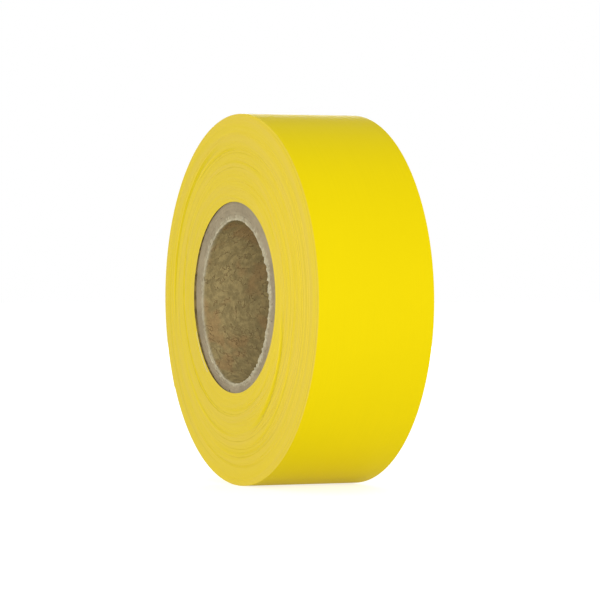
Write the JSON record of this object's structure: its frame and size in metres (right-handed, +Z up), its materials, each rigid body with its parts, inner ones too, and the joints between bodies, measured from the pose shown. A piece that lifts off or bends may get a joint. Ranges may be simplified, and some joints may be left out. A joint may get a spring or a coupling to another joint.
{
  "type": "roll of surveyor's flagging tape",
  "caption": "Roll of yellow non-adhesive flagging tape wound on a paper core, standing on its rim, with a free end that peels off.",
  "frame": {"origin": "centre of the core's bore, halfway along it", "axes": "+Y along the roll's axis, away from the face that the coned winding stands proud on; +Z up as the roll stands on its rim"},
  "size_m": [0.09, 0.0315, 0.09],
  "materials": {
    "film": "satin PVC film on the rim, matt where the cut edges stack up",
    "board": "grey-brown solid board",
    "liner_board": "kraft board, mottled",
    "strip": "matt adhesive strip"
  },
  "bodies": {
    "core": {"core_liner": "liner_board", "core_ply_2": "board", "core_ply_3": "board", "core_ply_4": "board", "core_ply_5": "board", "core_ply_6": "board", "core_wrap": "board", "start_strip": "strip", "turns_1": "film"},
    "turns_2": {"turns_2": "film"},
    "turns_3": {"turns_3": "film"},
    "turns_4": {"turns_4": "film"},
    "turns_5": {"turns_5": "film"},
    "turns_6": {"turns_6": "film"},
    "turns_7": {"turns_7": "film"},
    "turns_8": {"turns_8": "film"},
    "turns_9": {"turns_9": "film"},
    "tail_1": {"tail_1": "film"},
    "tail_2": {"tail_2": "film"},
    "tail_3": {"tail_3": "film"},
    "tail_4": {"tail_4": "film"},
    "tail_5": {"tail_5": "film"},
    "tail_6": {"tail_6": "film"},
    "tail_7": {"tail_7": "film"},
    "tail_8": {"tail_8": "film"},
    "tail_9": {"tail_9": "film"},
    "tail_10": {"tail_10": "film"}
  },
  "joints": [
    {"name": "slip_2", "type": "slide", "parent": "core", "child": "turns_2", "axis": [0, 1, 0], "range_m": [-0.001, 0.001]},
    {"name": "slip_3", "type": "slide", "parent": "turns_2", "child": "turns_3", "axis": [0, 1, 0], "range_m": [-0.001, 0.001]},
    {"name": "slip_4", "type": "slide", "parent": "turns_3", "child": "turns_4", "axis": [0, 1, 0], "range_m": [-0.001, 0.001]},
    {"name": "slip_5", "type": "slide", "parent": "turns_4", "child": "turns_5", "axis": [0, 1, 0], "range_m": [-0.001, 0.001]},
    {"name": "slip_6", "type": "slide", "parent": "turns_5", "child": "turns_6", "axis": [0, 1, 0], "range_m": [-0.001, 0.001]},
    {"name": "slip_7", "type": "slide", "parent": "turns_6", "child": "turns_7", "axis": [0, 1, 0], "range_m": [-0.001, 0.001]},
    {"name": "slip_8", "type": "slide", "parent": "turns_7", "child": "turns_8", "axis": [0, 1, 0], "range_m": [-0.001, 0.001]},
    {"name": "slip_9", "type": "slide", "parent": "turns_8", "child": "turns_9", "axis": [0, 1, 0], "range_m": [-0.001, 0.001]},
    {"name": "peel_1", "type": "hinge", "parent": "turns_9", "child": "tail_1", "pos_m": [-0.01539, 0.00122, 0.04229], "axis": [0, 1, 0], "range_deg": [0, 10]},
    {"name": "peel_2", "type": "hinge", "parent": "tail_1", "child": "tail_2", "pos_m": [-0.0225, 0.00122, 0.03897], "axis": [0, 1, 0], "range_deg": [0, 10]},
    {"name": "peel_3", "type": "hinge", "parent": "tail_2", "child": "tail_3", "pos_m": [-0.02893, 0.00122, 0.03447], "axis": [0, 1, 0], "range_deg": [0, 10]},
    {"name": "peel_4", "type": "hinge", "parent": "tail_3", "child": "tail_4", "pos_m": [-0.03447, 0.00122, 0.02893], "axis": [0, 1, 0], "range_deg": [0, 10]},
    {"name": "peel_5", "type": "hinge", "parent": "tail_4", "child": "tail_5", "pos_m": [-0.03897, 0.00122, 0.0225], "axis": [0, 1, 0], "range_deg": [0, 10]},
    {"name": "peel_6", "type": "hinge", "parent": "tail_5", "child": "tail_6", "pos_m": [-0.04229, 0.00122, 0.01539], "axis": [0, 1, 0], "range_deg": [0, 10]},
    {"name": "peel_7", "type": "hinge", "parent": "tail_6", "child": "tail_7", "pos_m": [-0.04432, 0.00122, 0.00781], "axis": [0, 1, 0], "range_deg": [0, 10]},
    {"name": "peel_8", "type": "hinge", "parent": "tail_7", "child": "tail_8", "pos_m": [-0.045, 0.00122, 0], "axis": [0, 1, 0], "range_deg": [0, 10]},
    {"name": "peel_9", "type": "hinge", "parent": "tail_8", "child": "tail_9", "pos_m": [-0.04432, 0.00122, -0.00781], "axis": [0, 1, 0], "range_deg": [0, 10]},
    {"name": "peel_10", "type": "hinge", "parent": "tail_9", "child": "tail_10", "pos_m": [-0.04229, 0.00122, -0.01539], "axis": [0, 1, 0], "range_deg": [0, 10]}
  ],
  "couplings": [
    {"joint": "slip_3", "follows": "slip_2", "ratio": 1},
    {"joint": "slip_4", "follows": "slip_2", "ratio": 1},
    {"joint": "slip_5", "follows": "slip_2", "ratio": 1},
    {"joint": "slip_6", "follows": "slip_2", "ratio": 1},
    {"joint": "slip_7", "follows": "slip_2", "ratio": 1},
    {"joint": "slip_8", "follows": "slip_2", "ratio": 1},
    {"joint": "slip_9", "follows": "slip_2", "ratio": 1},
    {"joint": "peel_2", "follows": "peel_1", "ratio": 1},
    {"joint": "peel_3", "follows": "peel_1", "ratio": 1},
    {"joint": "peel_4", "follows": "peel_1", "ratio": 1},
    {"joint": "peel_5", "follows": "peel_1", "ratio": 1},
    {"joint": "peel_6", "follows": "peel_1", "ratio": 1},
    {"joint": "peel_7", "follows": "peel_1", "ratio": 1},
    {"joint": "peel_8", "follows": "peel_1", "ratio": 1},
    {"joint": "peel_9", "follows": "peel_1", "ratio": 1},
    {"joint": "peel_10", "follows": "peel_1", "ratio": 1}
  ]
}
